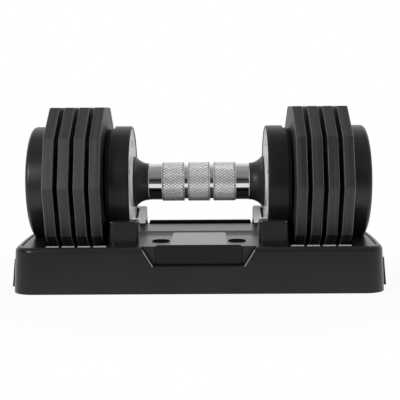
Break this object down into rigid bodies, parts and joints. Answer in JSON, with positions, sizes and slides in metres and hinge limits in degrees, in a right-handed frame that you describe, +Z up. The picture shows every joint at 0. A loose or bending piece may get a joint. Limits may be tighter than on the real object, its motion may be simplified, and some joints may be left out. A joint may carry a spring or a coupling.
{
  "type": "adjustable dumbbell",
  "caption": "Adjustable dumbbell resting in its storage tray: twist grip with knurled bands, dial drums, ten-sided plates that lift out singly, round end caps.",
  "frame": {"origin": "centre of the tray's footprint at floor level", "axes": "+X along the handle to the user's right, +Y away from the user, +Z up"},
  "size_m": [0.3602, 0.1836, 0.1724],
  "materials": {
    "tray_plastic": "satin moulded",
    "cover_plastic": "moulded",
    "sign_plastic": "plain satin black, bare",
    "panel_plastic": "plain, bare",
    "buffer_plastic": "matte",
    "foot_rubber": "matte",
    "screw_steel": "zinc plated",
    "drum_plastic": "satin black",
    "cap_plastic": "satin black",
    "collar_plastic": "satin black",
    "dial_metal": "brushed",
    "hook_steel": "machined",
    "core_iron": "as cast",
    "bush_bronze": "machined",
    "spring_steel": "drawn",
    "grip_chrome": "polished, knurled bands",
    "sleeve_steel": "turned",
    "rod_steel": "ground",
    "plate_iron": "matte black powder coat",
    "rail_steel": "machined"
  },
  "bodies": {
    "tray": {"tray_shell": "tray_plastic", "tray_base_cover": "cover_plastic", "tray_cover_screws": "screw_steel", "tray_feet": "foot_rubber", "sign_plate": "sign_plastic", "deck_panel": "panel_plastic", "plate_buffers": "buffer_plastic"},
    "frame": {"drum_shell_left": "drum_plastic", "drum_shell_right": "drum_plastic", "dial_plate_left": "dial_metal", "dial_plate_right": "dial_metal", "hook_plate_left": "hook_steel", "hook_plate_right": "hook_steel", "drum_weight_left": "core_iron", "drum_weight_right": "core_iron", "bearing_bush_left": "bush_bronze", "bearing_bush_right": "bush_bronze", "lock_spring_left": "spring_steel", "lock_spring_right": "spring_steel", "hook_plate_screws": "screw_steel", "tie_bar": "sleeve_steel", "detent_spring": "spring_steel"},
    "handle": {"grip_tube": "grip_chrome", "collar_left": "collar_plastic", "collar_right": "collar_plastic", "cam_sleeve_left": "sleeve_steel", "cam_sleeve_right": "sleeve_steel", "lock_ring_left": "hook_steel", "lock_ring_right": "hook_steel", "retaining_ring_left": "hook_steel", "retaining_ring_right": "hook_steel"},
    "detent": {"detent_ball": "spring_steel"},
    "rod_left": {"rod_left": "rod_steel", "follower_pin_left": "rod_steel"},
    "lock_left": {"lock_slider_left": "hook_steel"},
    "plate_1_left": {"plate_1_left": "plate_iron", "rail_1_left": "rail_steel"},
    "plate_2_left": {"plate_2_left": "plate_iron", "rail_2_left": "rail_steel"},
    "plate_3_left": {"plate_3_left": "plate_iron", "rail_3_left": "rail_steel"},
    "plate_4_left": {"plate_4_left": "plate_iron", "rail_4_left": "rail_steel", "end_cap_left": "cap_plastic", "end_cap_screws_left": "screw_steel"},
    "rod_right": {"rod_right": "rod_steel", "follower_pin_right": "rod_steel"},
    "lock_right": {"lock_slider_right": "hook_steel"},
    "plate_1_right": {"plate_1_right": "plate_iron", "rail_1_right": "rail_steel"},
    "plate_2_right": {"plate_2_right": "plate_iron", "rail_2_right": "rail_steel"},
    "plate_3_right": {"plate_3_right": "plate_iron", "rail_3_right": "rail_steel"},
    "plate_4_right": {"plate_4_right": "plate_iron", "rail_4_right": "rail_steel", "end_cap_right": "cap_plastic", "end_cap_screws_right": "screw_steel"}
  },
  "joints": [
    {"name": "frame_lift", "type": "slide", "parent": "tray", "child": "frame", "axis": [0, 0, 1], "range_m": [0, 0.16]},
    {"name": "handle_twist", "type": "hinge", "parent": "frame", "child": "handle", "pos_m": [0, 0, 0.0973], "axis": [1, 0, 0], "range_deg": [0, 288]},
    {"name": "detent_press", "type": "slide", "parent": "frame", "child": "detent", "axis": [-1, 0, 0], "range_m": [0, 0.0009]},
    {"name": "rod_left_slide", "type": "slide", "parent": "frame", "child": "rod_left", "axis": [-1, 0, 0], "range_m": [0, 0.0584]},
    {"name": "lock_left_drop", "type": "slide", "parent": "frame", "child": "lock_left", "axis": [0, 0, -1], "range_m": [0, 0.004], "deforming": ["lock_spring_left"]},
    {"name": "rod_right_slide", "type": "slide", "parent": "frame", "child": "rod_right", "axis": [1, 0, 0], "range_m": [0, 0.0584]},
    {"name": "lock_right_drop", "type": "slide", "parent": "frame", "child": "lock_right", "axis": [0, 0, -1], "range_m": [0, 0.004], "deforming": ["lock_spring_right"]},
    {"name": "plate_1_left_lift", "type": "slide", "parent": "tray", "child": "plate_1_left", "axis": [0, 0, 1], "range_m": [0, 0.16]},
    {"name": "plate_2_left_lift", "type": "slide", "parent": "tray", "child": "plate_2_left", "axis": [0, 0, 1], "range_m": [0, 0.16]},
    {"name": "plate_3_left_lift", "type": "slide", "parent": "tray", "child": "plate_3_left", "axis": [0, 0, 1], "range_m": [0, 0.16]},
    {"name": "plate_4_left_lift", "type": "slide", "parent": "tray", "child": "plate_4_left", "axis": [0, 0, 1], "range_m": [0, 0.16]},
    {"name": "plate_1_right_lift", "type": "slide", "parent": "tray", "child": "plate_1_right", "axis": [0, 0, 1], "range_m": [0, 0.16]},
    {"name": "plate_2_right_lift", "type": "slide", "parent": "tray", "child": "plate_2_right", "axis": [0, 0, 1], "range_m": [0, 0.16]},
    {"name": "plate_3_right_lift", "type": "slide", "parent": "tray", "child": "plate_3_right", "axis": [0, 0, 1], "range_m": [0, 0.16]},
    {"name": "plate_4_right_lift", "type": "slide", "parent": "tray", "child": "plate_4_right", "axis": [0, 0, 1], "range_m": [0, 0.16]}
  ],
  "couplings": [
    {"joint": "rod_left_slide", "follows": "handle_twist", "m_per_rad": 0.011618},
    {"joint": "lock_left_drop", "follows": "frame_lift", "ratio": 0.025},
    {"joint": "rod_right_slide", "follows": "handle_twist", "m_per_rad": 0.011618},
    {"joint": "lock_right_drop", "follows": "frame_lift", "ratio": 0.025}
  ]
}
